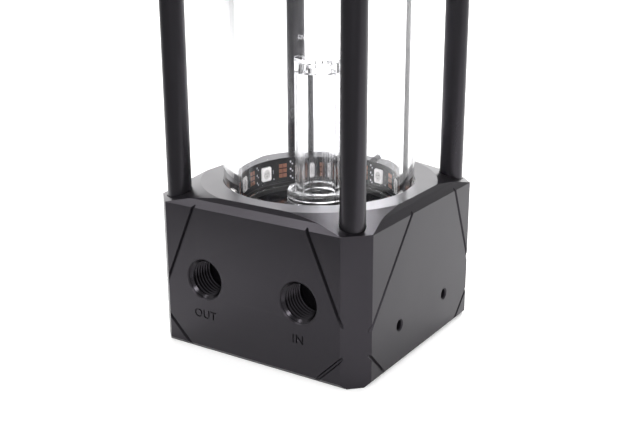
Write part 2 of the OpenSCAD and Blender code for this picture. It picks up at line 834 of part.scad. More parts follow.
module plate_screw_places() {
    for (i = [0:plate_screw_count - 1]) rotate(45 + 360 * i / plate_screw_count)
        translate([(plate_r + motor_r) / 2, 0, 0]) children();
}

module bottom_plate() {
    head_r = plate_screw_d;
    color("#2f3034") difference() {
        translate([0, 0, plate_lift]) cylinder(r = plate_r, h = plate_t);
        plate_screw_places() translate([0, 0, plate_lift]) {
            translate([0, 0, -over]) cylinder(d = plate_screw_d + 2 * seal_play, h = plate_t + 2 * over);
            translate([0, 0, -seal_play])
                cylinder(r1 = head_r * 0.95, r2 = plate_screw_d / 2, h = head_r * 0.5);
        }
    }
}

// Countersunk screws
module plate_screws() {
    key_w = 1.8;
    key_depth = 1;
    head_r = plate_screw_d;
    color("#9a9aa0") plate_screw_places() translate([0, 0, plate_lift]) difference() {
        union() {
            cylinder(r1 = head_r * 0.9, r2 = plate_screw_d / 2, h = head_r * 0.45);
            cylinder(d = plate_screw_d, h = plate_screw_len);
        }
        mirror([0, 0, 1]) key_socket(key_w, key_depth);
    }
}

module pump_lead_grommet() {
    lead_d = 2.6;
    inset = 2;
    color("#141414") translate([0, 0, lead_z]) rotate([-90, 0, 0]) difference() {
        union() {
            translate([0, 0, motor_r + inset])
                cylinder(r = lead_way_r - seal_play, h = half - motor_r - inset - grommet_flange_t / 2);
            translate([0, 0, half - grommet_flange_t]) cylinder(d = lead_grommet_d, h = grommet_flange_t);
        }
        cylinder(d = lead_d, h = half + over);
    }
}

// ---------------------------------------------------------------- pump, turning pieces

// Disc, hub and swept blades
module impeller() {
    blade_h = impeller_h - disc_t;
    color("#c9c2b4") difference() {
        union() {
            translate([0, 0, impeller_z]) cylinder(r = impeller_r, h = disc_t);
            translate([0, 0, magnet_z]) cylinder(r = hub_r, h = impeller_z + impeller_h - magnet_z);
            for (i = [0:blade_count - 1]) rotate(360 * i / blade_count)
                translate([0, 0, impeller_z + disc_t / 2]) linear_extrude(blade_h + disc_t / 2) blade_2d();
        }
        translate([0, 0, magnet_z - over]) cylinder(r = bush_r, h = base_h);
    }
}

// One backward-swept blade: the part of a thin ring between hub and rim
module blade_2d() {
    sweep_r = impeller_r * 0.62;
    bite = 0.3;
    intersection() {
        translate([0, -sweep_r]) difference() {
            circle(r = sweep_r + blade_t / 2);
            circle(r = sweep_r - blade_t / 2);
        }
        difference() {
            circle(r = impeller_r - bite);
            circle(r = hub_r - bite);
        }
        translate([0, -2 * impeller_r]) square(3 * impeller_r);
    }
}

module rotor_magnet() {
    overhang = 0.8;
    color("#5c5c62") translate([0, 0, magnet_z]) tube(can_r - magnet_gap, hub_r, stack_h + overhang);
}

module bearing_bush() {
    color("#3b3b3b") translate([0, 0, magnet_z])
        tube(bush_r, shaft_r + shaft_play, impeller_z + impeller_h - bush_recess - magnet_z);
}

// ---------------------------------------------------------------- fill plug

module fill_plug() {
    plug_key_depth = 5;
    head_edge = 0.6;
    groove_half = 1;
    ring_groove_d = 1.7;
    color("#26262a") translate([0, 0, top_z]) difference() {
        union() {
            cylinder(d = plug_head_d, h = plug_head_h - head_edge);
            translate([0, 0, plug_head_h - head_edge])
                cylinder(d1 = plug_head_d, d2 = plug_head_d - 2 * head_edge, h = head_edge);
            translate([0, 0, -plug_thread_len])
                cylinder(r = port_r - thread_play, h = plug_thread_len + over);
        }
        translate([0, 0, plug_head_h]) key_socket(plug_key_w, plug_key_depth);
        translate([0, 0, -over])
            tube(plug_ring_r + groove_half, plug_ring_r - groove_half, over + ring_groove_d);
    }
}

module fill_plug_seal() {
    ring_lift = 0.85;
    section = 1.6;
    color("#101010") translate([0, 0, top_z + ring_lift]) seal_ring(plug_ring_r, section);
}

base_block();
top_block();
glass_tube();
tube_gasket_lower();
tube_gasket_upper();
rod_front_left();
rod_front_right();
rod_rear_left();
rod_rear_right();
rod_screws_lower();
rod_screws_upper();
floor_insert();
insert_seal();
riser_tube();
riser_seals();
led_strip();
led_lights();
led_lead_grommet();
volute_housing();
rotor_can();
can_seal();
pump_shaft();
thrust_washer();
motor_frame();
stator_core();
stator_coils();
circuit_board();
board_parts();
thermal_pad();
bottom_plate();
plate_screws();
pump_lead_grommet();
impeller();
rotor_magnet();
bearing_bush();
fill_plug();
fill_plug_seal();
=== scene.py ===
"""Coolant pump reservoir: the visible pieces and their finishes.

A glass tank stands between two black blocks held together by four rods. The
base block carries the ports, a ring of lights and a clear riser tube. Every
piece is built in place, in metres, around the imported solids.
"""

import json
import math

import bmesh
import bpy
from bpy.props import (
    FloatProperty,
    FloatVectorProperty,
    IntProperty,
    PointerProperty,
    StringProperty,
)
from mathutils import Matrix, Vector


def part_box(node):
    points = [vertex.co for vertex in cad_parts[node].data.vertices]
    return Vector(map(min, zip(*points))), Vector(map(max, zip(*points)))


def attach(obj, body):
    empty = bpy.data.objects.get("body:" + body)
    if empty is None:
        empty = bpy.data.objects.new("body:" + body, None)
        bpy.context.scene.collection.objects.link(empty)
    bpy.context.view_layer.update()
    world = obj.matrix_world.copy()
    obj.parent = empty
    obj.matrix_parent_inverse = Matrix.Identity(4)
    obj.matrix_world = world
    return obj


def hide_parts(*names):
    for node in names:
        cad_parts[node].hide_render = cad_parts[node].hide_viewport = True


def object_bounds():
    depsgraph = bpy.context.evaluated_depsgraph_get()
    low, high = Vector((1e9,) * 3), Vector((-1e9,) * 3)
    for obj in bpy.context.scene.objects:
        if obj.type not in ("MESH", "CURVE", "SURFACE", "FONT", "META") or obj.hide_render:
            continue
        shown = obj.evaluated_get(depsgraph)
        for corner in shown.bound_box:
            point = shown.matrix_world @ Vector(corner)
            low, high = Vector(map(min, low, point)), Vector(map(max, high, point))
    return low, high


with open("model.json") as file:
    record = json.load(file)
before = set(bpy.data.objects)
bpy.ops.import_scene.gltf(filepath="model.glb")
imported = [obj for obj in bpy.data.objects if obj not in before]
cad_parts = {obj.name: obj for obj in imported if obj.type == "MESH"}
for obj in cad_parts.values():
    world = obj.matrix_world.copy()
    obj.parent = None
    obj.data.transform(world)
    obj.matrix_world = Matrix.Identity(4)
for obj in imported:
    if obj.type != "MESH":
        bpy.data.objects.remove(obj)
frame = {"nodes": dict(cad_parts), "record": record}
CAD_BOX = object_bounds()

bl_info = {
    "name": "Coolant Pump Reservoir",
    "version": (1, 0, 0),
    "blender": (4, 5, 0),
    "location": "View3D > Sidebar > Reservoir",
    "description": "Builds the visible pieces and finishes of a coolant pump reservoir",
    "category": "Object",
}

MM = 0.001
TURN = 2 * math.pi
ROOT = "reservoir"

# Points nearer than this are one point, and faces that turn less are one face.
MERGE = 1e-6
FLAT_ANGLE = math.radians(0.5)

# Most values of a noise texture lie between these.
NOISE_LOW = 0.3
NOISE_HIGH = 0.7


# ----------------------------------------------------------------------------
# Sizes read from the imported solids
# ----------------------------------------------------------------------------


def node_span(node, axis):
    """Lowest and highest coordinate of a node along one axis."""
    low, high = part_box(node)
    return low[axis], high[axis]


def node_radius(node):
    """Outer radius of a node that stands on the part's axis."""
    return node_span(node, 0)[1]


def mount(name):
    """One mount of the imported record."""
    return next(m for m in frame["record"]["mounts"] if m["name"] == name)


HALF = node_span("base_block", 0)[1]
RIM_Z = node_span("base_block", 2)[1]
TUBE_Z = node_span("glass_tube", 2)
TUBE_R = node_radius("glass_tube")
STRIP_R = node_radius("led_strip")
STRIP_Z = node_span("led_strip", 2)
LIGHT_Z = node_span("led_lights", 2)
PORTS = [Vector(mount(name)["pos_m"]) for name in ("port_out", "port_in")]
PORT_R = mount("port_out")["dims"]["r_mm"] * MM
PORT_LEN = mount("port_out")["dims"]["length_mm"] * MM


# ----------------------------------------------------------------------------
# Settings shown in the panel
# ----------------------------------------------------------------------------


class BlockSettings(bpy.types.PropertyGroup):
    """Machining of the two blocks."""

    edge: FloatProperty(
        name="Edge break",
        description="Width of the broken edges",
        default=0.18 * MM,
        unit="LENGTH",
        precision=5,
    )
    colour: FloatVectorProperty(
        name="Colour",
        description="Colour of the blocks",
        default=(0.0038, 0.0035, 0.0043),
        subtype="COLOR",
    )
    roughness: FloatProperty(
        name="Roughness",
        description="Gloss of the blocks",
        default=0.34,
        min=0,
        max=1,
    )
    letter_height: FloatProperty(
        name="Letter height",
        description="Height of the port marks",
        default=2.9 * MM,
        unit="LENGTH",
        precision=5,
    )
    letter_depth: FloatProperty(
        name="Letter depth",
        description="Depth of the port marks",
        default=0.35 * MM,
        unit="LENGTH",
        precision=5,
    )
    letter_z: FloatProperty(
        name="Letter foot",
        description="Height of the port marks' foot",
        default=11.65 * MM,
        unit="LENGTH",
        precision=5,
    )
    out_text: StringProperty(
        name="Left port",
        description="Mark under the left port",
        default="OUT",
    )
    in_text: StringProperty(
        name="Right port",
        description="Mark under the right port",
        default="IN",
    )
    thread_pitch: FloatProperty(
        name="Thread pitch",
        description="Pitch of the port thread",
        default=1.337 * MM,
        unit="LENGTH",
        precision=6,
    )
    thread_depth: FloatProperty(
        name="Thread depth",
        description="Height of the port thread",
        default=0.8 * MM,
        unit="LENGTH",
        precision=6,
    )


class TankSettings(bpy.types.PropertyGroup):
    """Glass tube and clear riser."""

    wall: FloatProperty(
        name="Wall",
        description="Wall of the tube",
        default=4.7 * MM,
        unit="LENGTH",
        precision=5,
    )
    edge: FloatProperty(
        name="Edge",
        description="Ground edge at the tube's ends",
        default=0.4 * MM,
        unit="LENGTH",
        precision=5,
    )
    flange: FloatProperty(
        name="Flange",
        description="Height of the riser's turned flange",
        default=2.7 * MM,
        unit="LENGTH",
        precision=5,
    )
    glass_ior: FloatProperty(
        name="Glass IOR",
        description="Refraction of the tube",
        default=1.47,
        min=1,
        max=2,
    )
    acrylic_ior: FloatProperty(
        name="Riser IOR",
        description="Refraction of the riser",
        default=1.49,
        min=1,
        max=2,
    )


class LightRingSettings(bpy.types.PropertyGroup):
    """Lights, pads and marks on the strip."""

    count: IntProperty(
        name="Lights",
        description="Number of lights on the ring",
        default=12,
        min=1,
    )
    first: FloatProperty(
        name="First light",
        description="Angle of the first light",
        default=math.radians(164.2),
        subtype="ANGLE",
    )
    window: FloatProperty(
        name="Window radius",
        description="Radius of a light's window",
        default=1.85 * MM,
        unit="LENGTH",
        precision=5,
    )


class StageSettings(bpy.types.PropertyGroup):
    """Camera, floor and light."""

    lens: FloatProperty(
        name="Lens",
        description="Focal length in millimetres",
        default=57.6,
    )
    height: FloatProperty(
        name="Camera height",
        description="Height of the camera",
        default=0.14492,
        unit="LENGTH",
    )
    distance: FloatProperty(
        name="Camera distance",
        description="Camera's distance from the axis",
        default=0.3299,
        unit="LENGTH",
    )
    bearing: FloatProperty(
        name="Camera bearing",
        description="Camera's angle round the axis",
        default=math.radians(32.82),
        subtype="ANGLE",
    )
    yaw: FloatProperty(
        name="Yaw",
        description="Direction of view",
        default=math.radians(32.77),
        subtype="ANGLE",
    )
    pitch: FloatProperty(
        name="Pitch",
        description="Downward tilt of the view",
        default=math.radians(17.70),
        subtype="ANGLE",
    )
    roll: FloatProperty(
        name="Roll",
        description="Roll of the view",
        default=math.radians(-0.0845),
        subtype="ANGLE",
    )
    table_front: FloatProperty(
        name="Table front",
        description="Distance from the axis to the table's front edge",
        default=0.13,
        unit="LENGTH",
    )


# ----------------------------------------------------------------------------
# Mesh helpers
# ----------------------------------------------------------------------------


def link(name, data, material=None):
    """New object in the scene, at the origin."""
    obj = bpy.data.objects.new(name, data)
    bpy.context.scene.collection.objects.link(obj)
    if material:
        data.materials.append(material)
    return obj


def from_bmesh(name, bm, material=None, smooth_angle=None):
    """Object from a bmesh, with faces smoothed below an angle."""
    mesh = bpy.data.meshes.new(name)
    bmesh.ops.recalc_face_normals(bm, faces=bm.faces[:])
    bm.to_mesh(mesh)
    bm.free()
    if smooth_angle is not None:
        smooth(mesh, smooth_angle)
    return link(name, mesh, material)


def smooth(mesh, degrees):
    """Smooth shading, with edges above an angle left sharp."""
    mesh.shade_smooth()
    mesh.set_sharp_from_angle(angle=math.radians(degrees))


def lathe(bm, profile, segments, closed=True):
    """Turns a profile of (radius, height) points about the Z axis."""
    rings = []
    for k in range(segments):
        a = TURN * k / segments
        rings.append([bm.verts.new((r * math.cos(a), r * math.sin(a), z)) for r, z in profile])
    steps = len(profile) if closed else len(profile) - 1
    for k in range(segments):
        here = rings[k]
        there = rings[(k + 1) % segments]
        for i in range(steps):
            j = (i + 1) % len(profile)
            bm.faces.new((here[i], there[i], there[j], here[j]))
    bmesh.ops.remove_doubles(bm, verts=bm.verts[:], dist=MERGE / 10)


def block(bm, low, high):
    """Axis-aligned box between two corners."""
    made = bmesh.ops.create_cube(bm, size=1)
    low = Vector(low)
    high = Vector(high)
    for v in made["verts"]:
        v.co = Vector(((low[i] + high[i]) / 2 + v.co[i] * (high[i] - low[i])) for i in range(3))
    return made["verts"]


def skin(bm, rings):
    """Closes a row of rings with equal counts of points into a solid."""
    for here, there in zip(rings, rings[1:]):
        for k in range(len(here)):
            j = (k + 1) % len(here)
            bm.faces.new((here[k], here[j], there[j], there[k]))
    bm.faces.new(rings[0])
    bm.faces.new(list(reversed(rings[-1])))


def cad_copy(name, node):
    """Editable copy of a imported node, with its triangles joined."""
    mesh = frame["nodes"][node].data.copy()
    mesh.name = name
    bm = bmesh.new()
    bm.from_mesh(mesh)
    bmesh.ops.remove_doubles(bm, verts=bm.verts[:], dist=MERGE)
    bmesh.ops.dissolve_limit(
        bm, angle_limit=FLAT_ANGLE, verts=bm.verts[:], edges=bm.edges[:], delimit={"NORMAL"}
    )
    bm.to_mesh(mesh)
    bm.free()
    normals = mesh.attributes.get("custom_normal")
    if normals:
        mesh.attributes.remove(normals)
    return link(name, mesh)


def refine_rounds(obj, cuts):
    """Splits the arcs about the Z axis and moves the new points onto their circles."""
    levels_in_metre = 1e5
    edges_in_radius = 3
    bm = bmesh.new()
    bm.from_mesh(obj.data)
    arcs = []
    circles = {}
    for edge in bm.edges:
        a, b = (v.co for v in edge.verts)
        radius = math.hypot(a.x, a.y)
        level = abs(a.z - b.z) < MERGE
        same_radius = abs(radius - math.hypot(b.x, b.y)) < 2 * MERGE
        if level and same_radius and edge.calc_length() < radius / edges_in_radius:
            arcs.append(edge)
            circles.setdefault(round(a.z * levels_in_metre), set()).add(radius)
    old = set(bm.verts)
    bmesh.ops.subdivide_edges(bm, edges=arcs, cuts=cuts)
    for v in bm.verts:
        radii = circles.get(round(v.co.z * levels_in_metre))
        if v not in old and radii:
            radius = math.hypot(v.co.x, v.co.y)
            target = min(radii, key=lambda c: abs(c - radius))
            v.co.x *= target / radius
            v.co.y *= target / radius
    bm.to_mesh(obj.data)
    bm.free()


def settle(obj):
    """Applies an object's modifiers to its own mesh."""
    bpy.context.view_layer.update()
    graph = bpy.context.evaluated_depsgraph_get()
    mesh = bpy.data.meshes.new_from_object(obj.evaluated_get(graph))
    old = obj.data
    obj.modifiers.clear()
    obj.data = mesh
    bpy.data.meshes.remove(old)


def carve(obj, cutter):
    """Cuts one object out of another and removes the cutter."""
    cut = obj.modifiers.new("Cut", "BOOLEAN")
    cut.operation = "DIFFERENCE"
    cut.solver = "EXACT"
    cut.object = cutter
    settle(obj)
    bpy.data.objects.remove(cutter)


def place(obj, body, node=None):
    """Lets a piece ride on a body, and hides the node it stands for."""
    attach(obj, body)
    if node:
        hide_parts(node)


def finish_faces(obj, *names):
    """Gives a piece its finishes, the first of them on every face."""
    obj.data.materials.clear()
    for name in names:
        obj.data.materials.append(finish(name))


def dress(node, name):
    """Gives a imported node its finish."""
    finish_faces(frame["nodes"][node], name)


def helix(bm, radius_root, radius_crest, pitch, length):
    """Thread ridge that winds along +Z from z = 0 and rises over half a turn at each end."""
    segments = 72
    rise = 2
    # Half widths of the ridge at its root and its crest, in pitches.
    root = 0.42
    crest = 0.08
    profile = [
        (radius_root, -root),
        (radius_crest, -crest),
        (radius_crest, crest),
        (radius_root, root),
    ]
    steps = int(length / pitch * segments)
    before = None
    for k in range(steps + 1):
        a = TURN * k / segments
        z = k / segments * pitch
        fade = min(1, k / segments * rise, (steps - k) / segments * rise)
        ring = []
        for r, dz in profile:
            depth = radius_root + (r - radius_root) * fade
            ring.append(bm.verts.new((depth * math.cos(a), depth * math.sin(a), z + dz * pitch)))
        if before:
            for i in range(len(profile)):
                j = (i + 1) % len(profile)
                bm.faces.new((before[i], ring[i], ring[j], before[j]))
        before = ring


# ----------------------------------------------------------------------------
# Repeats round the axis, as a node group
# ----------------------------------------------------------------------------


def repeat_group():
    """Geometry nodes that copy one piece round the Z axis."""
    group = bpy.data.node_groups.get("Repeat round axis")
    if group:
        return group
    group = bpy.data.node_groups.new("Repeat round axis", "GeometryNodeTree")
    inputs = {
        "Geometry": "NodeSocketGeometry",
        "Count": "NodeSocketInt",
        "First angle": "NodeSocketFloat",
        "Step": "NodeSocketFloat",
        "Material": "NodeSocketMaterial",
    }
    for name, kind in inputs.items():
        group.interface.new_socket(name, in_out="INPUT", socket_type=kind)
    group.interface.new_socket("Geometry", in_out="OUTPUT", socket_type="NodeSocketGeometry")
    nodes = group.nodes
    links = group.links
    source = nodes.new("NodeGroupInput")
    result = nodes.new("NodeGroupOutput")
    line = nodes.new("GeometryNodeMeshLine")
    line.mode = "OFFSET"
    line.inputs["Offset"].default_value = (0, 0, 0)
    index = nodes.new("GeometryNodeInputIndex")
    angle = nodes.new("ShaderNodeMath")
    angle.operation = "MULTIPLY_ADD"
    turn = nodes.new("ShaderNodeCombineXYZ")
    copies = nodes.new("GeometryNodeInstanceOnPoints")
    real = nodes.new("GeometryNodeRealizeInstances")
    finished = nodes.new("GeometryNodeSetMaterial")
    links.new(source.outputs["Count"], line.inputs["Count"])
    links.new(index.outputs[0], angle.inputs[0])
    links.new(source.outputs["Step"], angle.inputs[1])
    links.new(source.outputs["First angle"], angle.inputs[2])
    links.new(angle.outputs[0], turn.inputs["Z"])
    links.new(line.outputs["Mesh"], copies.inputs["Points"])
    links.new(source.outputs["Geometry"], copies.inputs["Instance"])
    links.new(turn.outputs[0], copies.inputs["Rotation"])
    links.new(copies.outputs["Instances"], real.inputs["Geometry"])
    links.new(real.outputs["Geometry"], finished.inputs["Geometry"])
    links.new(source.outputs["Material"], finished.inputs["Material"])
    links.new(finished.outputs["Geometry"], result.inputs["Geometry"])
    return group


def repeat(obj, count, material, first=0.0):
    """Replaces a piece's mesh by its copies round the axis."""
    group = repeat_group()
    modifier = obj.modifiers.new("Repeat", "NODES")
    modifier.node_group = group
    values = {
        "Count": count,
        "First angle": first,
        "Step": TURN / count,
        "Material": material,
    }
    for item in group.interface.items_tree:
        if item.in_out == "INPUT" and item.name in values:
            modifier[item.identifier] = values[item.name]
    settle(obj)


# ----------------------------------------------------------------------------
# Materials
# ----------------------------------------------------------------------------


class NodeMaths:
    """Arithmetic for the builders of materials and of the world."""

    def step(self, value, start, end, low=0.0, high=1.0):
        """Soft step from one value to another."""
        node = self.nodes.new("ShaderNodeMapRange")
        node.interpolation_type = "SMOOTHSTEP"
        limits = {"From Min": start, "From Max": end, "To Min": low, "To Max": high}
        for key, number in limits.items():
            node.inputs[key].default_value = number
        self.links.new(value, node.inputs["Value"])
        return node.outputs["Result"]

    def math(self, operation, first, second):
        """One arithmetic node on sockets or numbers."""
        node = self.nodes.new("ShaderNodeMath")
        node.operation = operation
        for socket, value in zip(node.inputs, (first, second)):
            if isinstance(value, (int, float)):
                socket.default_value = value
            else:
                self.links.new(value, socket)
        return node.outputs[0]


class Shader(NodeMaths):
    """Small builder for one Principled material on object coordinates."""

    def __init__(self, name, colour, roughness, **inputs):
        self.material = bpy.data.materials.new(name)
        self.material.use_nodes = True
        self.nodes = self.material.node_tree.nodes
        self.links = self.material.node_tree.links
        self.bsdf = self.nodes["Principled BSDF"]
        self.bsdf.inputs["Base Color"].default_value = (*colour, 1)
        self.bsdf.inputs["Roughness"].default_value = roughness
        for key, value in inputs.items():
            self.bsdf.inputs[key.replace("_", " ")].default_value = value
        self.coords = self.nodes.new("ShaderNodeTexCoord")

    def noise(self, scale, detail, stretch=(1, 1, 1)):
        """Noise factor in cycles per metre, drawn out along the given axes."""
        mapping = self.nodes.new("ShaderNodeMapping")
        mapping.inputs["Scale"].default_value = stretch
        self.links.new(self.coords.outputs["Object"], mapping.inputs["Vector"])
        texture = self.nodes.new("ShaderNodeTexNoise")
        texture.inputs["Scale"].default_value = scale
        texture.inputs["Detail"].default_value = detail
        self.links.new(mapping.outputs["Vector"], texture.inputs["Vector"])
        return texture.outputs["Fac"]

    def bands(self, scale, axis="Z", distortion=0.0):
        """Wave factor across one axis."""
        texture = self.nodes.new("ShaderNodeTexWave")
        texture.bands_direction = axis
        texture.inputs["Scale"].default_value = scale
        texture.inputs["Distortion"].default_value = distortion
        self.links.new(self.coords.outputs["Object"], texture.inputs["Vector"])
        return texture.outputs["Fac"]

    def spread(self, factor, low, high):
        """Maps the middle of a noise factor to a range of values."""
        node = self.nodes.new("ShaderNodeMapRange")
        node.inputs["From Min"].default_value = NOISE_LOW
        node.inputs["From Max"].default_value = NOISE_HIGH
        node.inputs["To Min"].default_value = low
        node.inputs["To Max"].default_value = high
        self.links.new(factor, node.inputs["Value"])
        return node.outputs["Result"]

    def vary_colour(self, factor, low, high):
        """Base colour between two colours."""
        mix = self.nodes.new("ShaderNodeMix")
        mix.data_type = "RGBA"
        # Its inputs 6 and 7 are the two colours, and its output 2 is their mix.
        mix.inputs[6].default_value = (*low, 1)
        mix.inputs[7].default_value = (*high, 1)
        self.links.new(factor, mix.inputs[0])
        self.links.new(mix.outputs[2], self.bsdf.inputs["Base Color"])

    def vary_roughness(self, factor, low, high):
        """Roughness between two values."""
        self.links.new(self.spread(factor, low, high), self.bsdf.inputs["Roughness"])

    def bump(self, factor, height, strength):
        """Surface relief of a given height in metres."""
        node = self.nodes.new("ShaderNodeBump")
        node.inputs["Strength"].default_value = strength
        node.inputs["Distance"].default_value = height
        self.links.new(factor, node.inputs["Height"])
        self.links.new(node.outputs["Normal"], self.bsdf.inputs["Normal"])


def shade(colour, factor):
    """A colour made darker or lighter, up to white."""
    return tuple(min(1, c * factor) for c in colour)


def machined_plastic(name, colour, roughness):
    """Satin machined plastic: fine tool grain and slight mottling."""
    violet_sheen = (0.95, 0.88, 1.0, 1.0)
    mottle = 0.03
    s = Shader(name, colour, roughness, IOR=1.52, Specular_Tint=violet_sheen)
    grain = s.noise(1400, 4)
    cloud = s.noise(38, 2)
    s.vary_colour(cloud, shade(colour, 0.85), shade(colour, 1.2))
    s.vary_roughness(cloud, roughness - mottle, roughness + mottle)
    s.bump(grain, 0.004 * MM, 0.35)
    return s.material


def clear(name, ior, tint, roughness=0.0):
    """Clear glass or acrylic that lets light through to what stands behind it."""
    light_let_through = (0.95, 0.95, 0.955, 1)
    haze = 0.004
    s = Shader(name, tint, roughness, IOR=ior, Transmission_Weight=1.0)
    s.vary_roughness(s.noise(60, 2), roughness, roughness * 1.5 + haze)
    path = s.nodes.new("ShaderNodeLightPath")
    through = s.nodes.new("ShaderNodeBsdfTransparent")
    through.inputs["Color"].default_value = light_let_through
    mix = s.nodes.new("ShaderNodeMixShader")
    s.links.new(path.outputs["Is Shadow Ray"], mix.inputs["Fac"])
    s.links.new(s.bsdf.outputs["BSDF"], mix.inputs[1])
    s.links.new(through.outputs["BSDF"], mix.inputs[2])
    s.links.new(mix.outputs[0], s.nodes["Material Output"].inputs["Surface"])
    return s.material


def rubber(name, colour=(0.012, 0.012, 0.012)):
    """Matt moulded rubber."""
    s = Shader(name, colour, 0.6, IOR=1.5)
    s.vary_roughness(s.noise(900, 2), 0.5, 0.7)
    s.bump(s.noise(2500, 2), 0.01 * MM, 0.4)
    return s.material


def anodised(name, colour, roughness=0.3):
    """Anodised metal with fine turning marks round the axis."""
    s = Shader(name, colour, roughness, Metallic=0.55, IOR=1.6)
    s.vary_roughness(s.noise(500, 3, (1, 1, 0.05)), roughness - 0.05, roughness + 0.06)
    s.bump(s.bands(1500, "Z", 0.6), 0.002 * MM, 0.3)
    return s.material


def steel(name, colour, roughness=0.3):
    """Bare or blackened steel."""
    s = Shader(name, colour, roughness, Metallic=1.0)
    s.vary_roughness(s.noise(800, 3), roughness - 0.06, roughness + 0.1)
    s.bump(s.noise(3000, 2), 0.003 * MM, 0.3)
    return s.material


def moulded(name, colour, roughness, scale=700):
    """Moulded plastic with an even fine texture."""
    s = Shader(name, colour, roughness, IOR=1.5)
    s.vary_colour(s.noise(scale / 8, 2), shade(colour, 0.88), shade(colour, 1.12))
    s.vary_roughness(s.noise(scale, 2), roughness - 0.05, roughness + 0.05)
    s.bump(s.noise(scale * 3, 2), 0.004 * MM, 0.3)
    return s.material


def copper_wire(name):
    """Layers of enamelled wire."""
    s = Shader(name, (0.6, 0.24, 0.09), 0.32, Metallic=1.0)
    s.vary_colour(s.noise(300, 2), (0.5, 0.18, 0.06), (0.7, 0.3, 0.12))
    s.bump(s.bands(800, "Z", 0.4), 0.15 * MM, 0.8)
    return s.material


def laminations(name):
    """Stack of thin steel sheets."""
    s = Shader(name, (0.3, 0.3, 0.32), 0.4, Metallic=1.0)
    s.vary_roughness(s.noise(600, 2), 0.34, 0.5)
    s.bump(s.bands(500, "Z"), 0.06 * MM, 0.6)
    return s.material


def board(name):
    """Solder resist with faint tracks under it."""
    s = Shader(name, (0.01, 0.11, 0.04), 0.28)
    tracks = s.bands(120, "X", 6)
    s.vary_colour(tracks, (0.008, 0.09, 0.035), (0.014, 0.14, 0.055))
    s.bump(tracks, 0.02 * MM, 0.3)
    return s.material


def make_materials(settings):
    """All finishes by name."""
    colour = tuple(settings.blocks.colour)
    rough = settings.blocks.roughness
    clear_tint = (0.985, 0.985, 0.99)
    acrylic_ior = settings.tank.acrylic_ior
    return {
        "block": machined_plastic("block_acetal", colour, rough),
        # Painted shade: the thread and recess finishes are darker copies of the block's acetal,
        # for the insides of the ports and the engraved marks.
        "thread": machined_plastic("thread_painted_shade", shade(colour, 0.4), 0.2),
        "recess": machined_plastic("recess_painted_shade", shade(colour, 0.2), 0.5),
        "glass": clear("tank_glass", settings.tank.glass_ior, (0.985, 0.985, 0.995)),
        "acrylic": clear("riser_acrylic", acrylic_ior, clear_tint),
        "turned": clear("riser_turned", acrylic_ior, clear_tint, 0.16),
        "rubber": rubber("seal_rubber"),
        "grey_rubber": rubber("lead_grommet_rubber", (0.09, 0.09, 0.092)),
        "rod": machined_plastic("rod_anodised", (0.004, 0.004, 0.0045), 0.3),
        "dark_steel": steel("screw_black_oxide", (0.05, 0.05, 0.053), 0.34),
        "bright_steel": steel("screw_plain", (0.55, 0.55, 0.57), 0.28),
        "insert": moulded("insert_gloss_black", (0.004, 0.004, 0.005), 0.2, 300),
        "strip": moulded("strip_film", (0.01, 0.01, 0.011), 0.42, 900),
        "light": moulded("light_body", (0.86, 0.84, 0.82), 0.32, 900),
        "window": moulded("light_window", (0.62, 0.6, 0.58), 0.18, 900),
        "die": steel("light_die", (0.25, 0.22, 0.2), 0.3),
        "pad": steel("pad_copper", (0.62, 0.28, 0.18), 0.45),
        "mark": moulded("strip_print", (0.62, 0.62, 0.66), 0.5, 1500),
        "pump": moulded("pump_plastic", (0.02, 0.02, 0.022), 0.45),
        "ceramic": moulded("shaft_ceramic", (0.8, 0.79, 0.75), 0.2),
        "laminations": laminations("stator_laminations"),
        "copper": copper_wire("winding_copper"),
        "board": board("board_resist"),
        "chip": moulded("chip_plastic", (0.02, 0.02, 0.022), 0.5),
        "thermal": rubber("thermal_pad", (0.25, 0.32, 0.4)),
        "plate": anodised("plate_anodised", (0.02, 0.02, 0.022), 0.38),
        "impeller": moulded("impeller_plastic", (0.5, 0.45, 0.36), 0.4),
        "magnet": steel("magnet_ferrite", (0.06, 0.06, 0.065), 0.5),
        "carbon": moulded("bush_carbon", (0.02, 0.02, 0.02), 0.35),
        "plug": machined_plastic("plug_plastic", (0.014, 0.014, 0.016), 0.36),
    }


_finishes = {}


def finish(name):
    """One finish; the whole set is made when first asked for."""
    if not _finishes:
        _finishes.update(make_materials(bpy.context.scene.reservoir))
    return _finishes[name]


# ----------------------------------------------------------------------------
# Blocks, threads and letters
# ----------------------------------------------------------------------------


def break_edges(obj, width):
    """Narrow bevel on the long, sharp outer edges."""
    shortest = 4 * width
    least_turn = math.radians(20)
    bm = bmesh.new()
    bm.from_mesh(obj.data)
    chosen = []
    for edge in bm.edges:
        if len(edge.link_faces) != 2 or edge.calc_length() < shortest or not edge.is_convex:
            continue
        if edge.calc_face_angle(0) > least_turn:
            chosen.append(edge)
    bmesh.ops.bevel(
        bm,
        geom=chosen,
        offset=width,
        offset_type="OFFSET",
        segments=2,
        profile=0.6,
        affect="EDGES",
        clamp_overlap=True,
    )
    bm.to_mesh(obj.data)
    bm.free()


